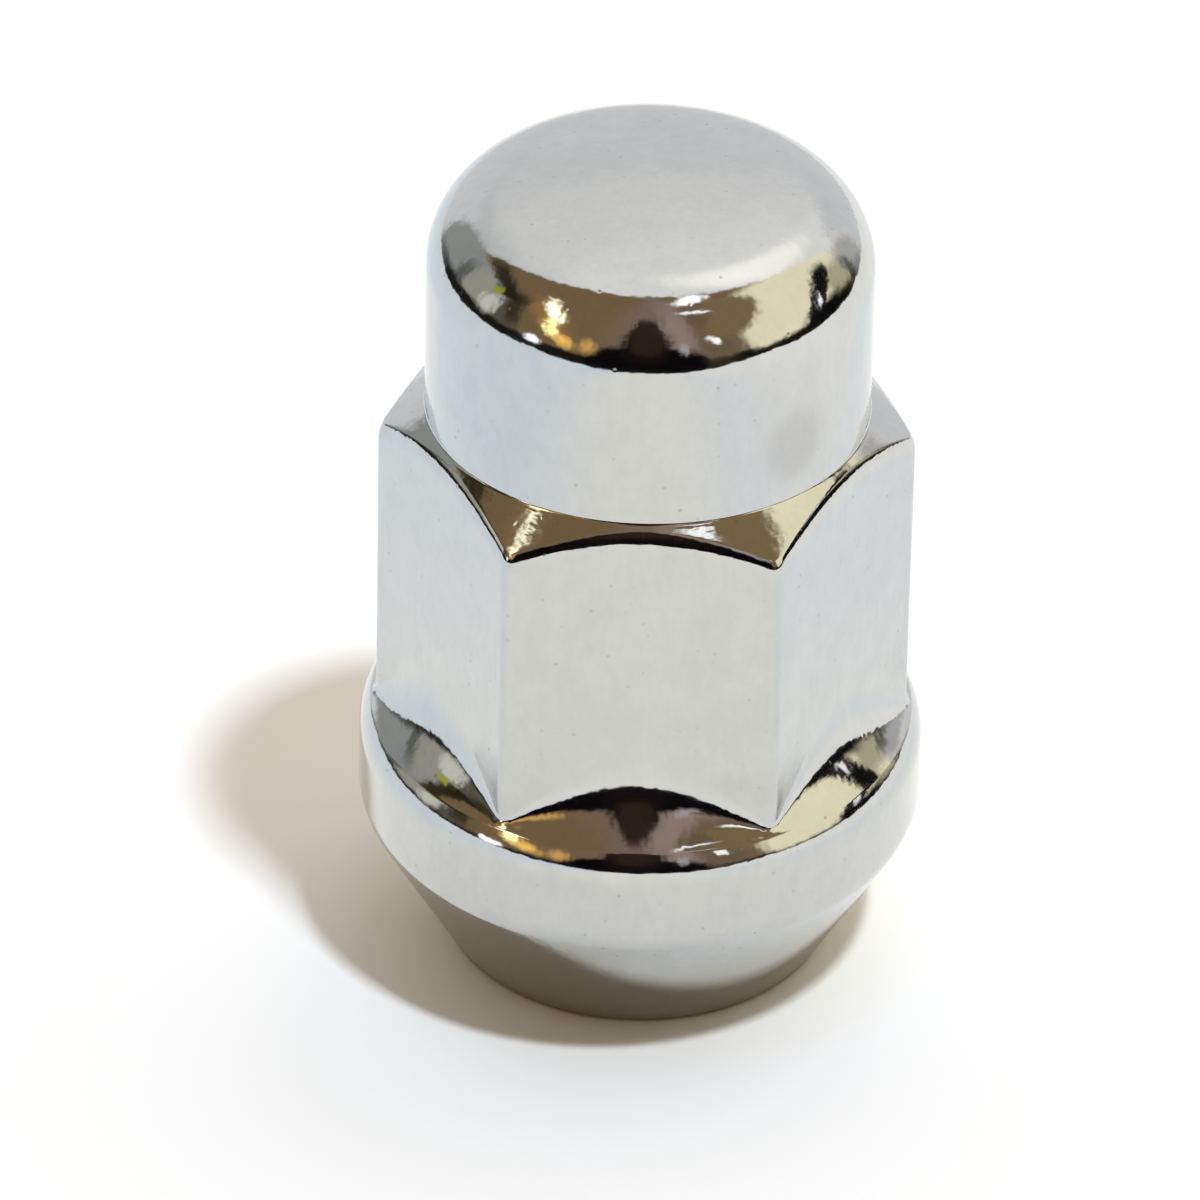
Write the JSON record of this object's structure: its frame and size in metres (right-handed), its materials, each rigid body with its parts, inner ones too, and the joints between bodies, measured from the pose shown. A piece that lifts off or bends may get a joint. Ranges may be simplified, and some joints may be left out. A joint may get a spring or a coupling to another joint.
{
  "type": "acorn lug nut",
  "caption": "Closed-end wheel nut: a wrench hexagon under a domed cap, running out into a bulged collar with a 60 degree conical seat and a blind threaded bore.",
  "frame": {"origin": "centre of the open end's flat face, on the thread's axis", "axes": "+Z along the thread's axis from the open end to the crown; the hexagon has flats facing +Y and -Y and corners on +X and -X"},
  "size_m": [0.0232, 0.0232, 0.0358],
  "materials": {
    "chrome_plate": "bright chrome plate on forged steel, polished by the tumbling of plated parts, with fine specks and soft waves"
  },
  "bodies": {
    "root": {"lug_nut": "chrome_plate"}
  },
  "joints": []
}
